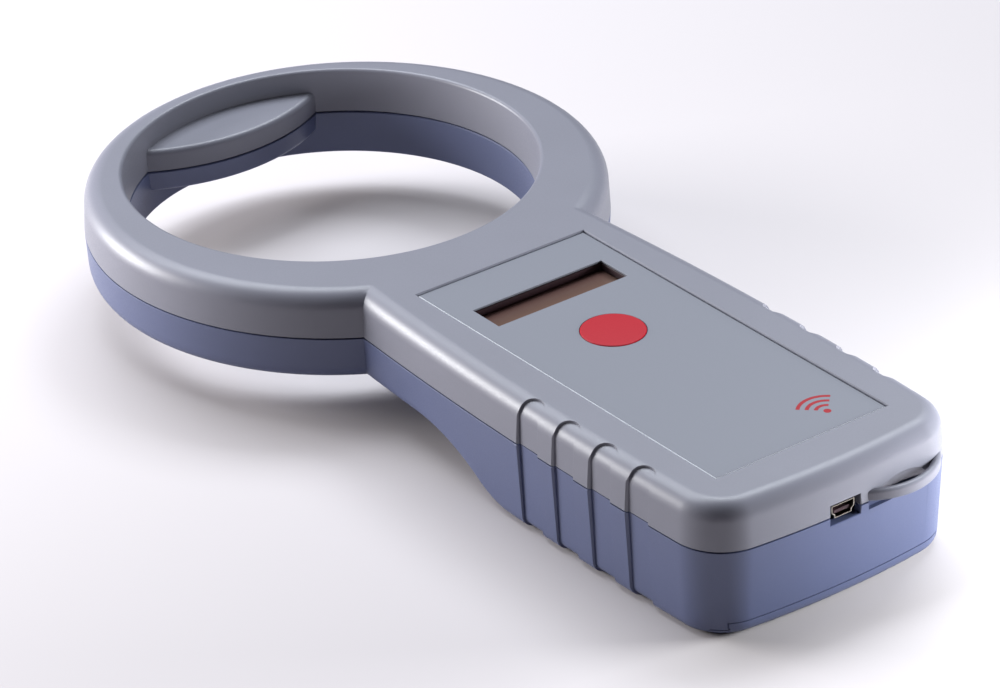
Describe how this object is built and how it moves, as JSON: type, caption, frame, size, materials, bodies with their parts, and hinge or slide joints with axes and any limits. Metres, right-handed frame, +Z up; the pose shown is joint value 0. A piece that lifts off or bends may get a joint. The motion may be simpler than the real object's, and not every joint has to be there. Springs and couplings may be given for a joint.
{
  "type": "microchip scanner",
  "caption": "Handheld pet microchip reader: flat antenna ring on a deep flat-based handle with display window, red scan button, sliding battery door and cord loop.",
  "frame": {"origin": "middle of the plan, on the surface that the handle's flat underside lies on", "axes": "+Y along the scanner towards the antenna ring, +Z up out of the display face, +X to the right when the ring points away"},
  "size_m": [0.1506, 0.2977, 0.0395],
  "materials": {
    "upper_plastic": "cool grey moulded ABS, fine satin texture",
    "lower_plastic": "slate blue moulded ABS, fine satin texture",
    "face_film": "flat grey printed plate, matte",
    "button_plastic": "red moulded cap, satin",
    "black_plastic": "black moulded plastic",
    "display_glass": "liquid crystal cell, brown-grey when off",
    "white_plastic": "white moulded plastic",
    "board_laminate": "green solder mask on glass laminate",
    "plated_steel": "nickel-plated steel",
    "coil_copper": "enamelled copper winding",
    "cell_jacket": "printed metal jacket, dark grey"
  },
  "bodies": {
    "scanner_case": {"top_shell": "upper_plastic", "bottom_shell": "lower_plastic", "faceplate": "face_film", "switch_body": "black_plastic", "display_frame": "black_plastic", "display_glass": "display_glass", "display_backlight": "white_plastic", "display_board": "board_laminate", "display_header": "black_plastic", "main_board": "board_laminate", "processor_chip": "black_plastic", "antenna_driver_chip": "black_plastic", "tuning_capacitor": "black_plastic", "clock_crystal": "plated_steel", "antenna_connector": "white_plastic", "buzzer": "black_plastic", "supply_capacitor": "cell_jacket", "usb_socket": "plated_steel", "usb_tongue": "white_plastic", "antenna_coil": "coil_copper", "antenna_lead_left": "coil_copper", "antenna_lead_right": "coil_copper", "battery_cell_1": "cell_jacket", "battery_spring_1": "plated_steel", "battery_cell_2": "cell_jacket", "battery_spring_2": "plated_steel", "battery_cell_3": "cell_jacket", "battery_spring_3": "plated_steel", "battery_cell_4": "cell_jacket", "battery_spring_4": "plated_steel", "contact_front_1": "plated_steel", "contact_front_2": "plated_steel", "contact_front_3": "plated_steel", "contact_rear_1": "plated_steel", "contact_rear_2": "plated_steel", "case_screw_front_left": "plated_steel", "case_screw_front_right": "plated_steel", "case_screw_rear_left": "plated_steel", "case_screw_rear_right": "plated_steel", "case_screw_pod": "plated_steel", "board_screw_1": "plated_steel", "board_screw_2": "plated_steel", "board_screw_3": "plated_steel", "board_screw_4": "plated_steel"},
    "scan_button_body": {"scan_button": "button_plastic", "switch_plunger": "black_plastic"},
    "battery_door_body": {"battery_door": "lower_plastic"}
  },
  "joints": [
    {"name": "scan_button_press", "type": "slide", "parent": "scanner_case", "child": "scan_button_body", "axis": [0, 0, -1], "range_m": [0, 0.0007], "stiffness_N_per_m": 900},
    {"name": "battery_door_slide", "type": "slide", "parent": "scanner_case", "child": "battery_door_body", "axis": [0, -1, 0], "range_m": [0, 0.068]}
  ]
}
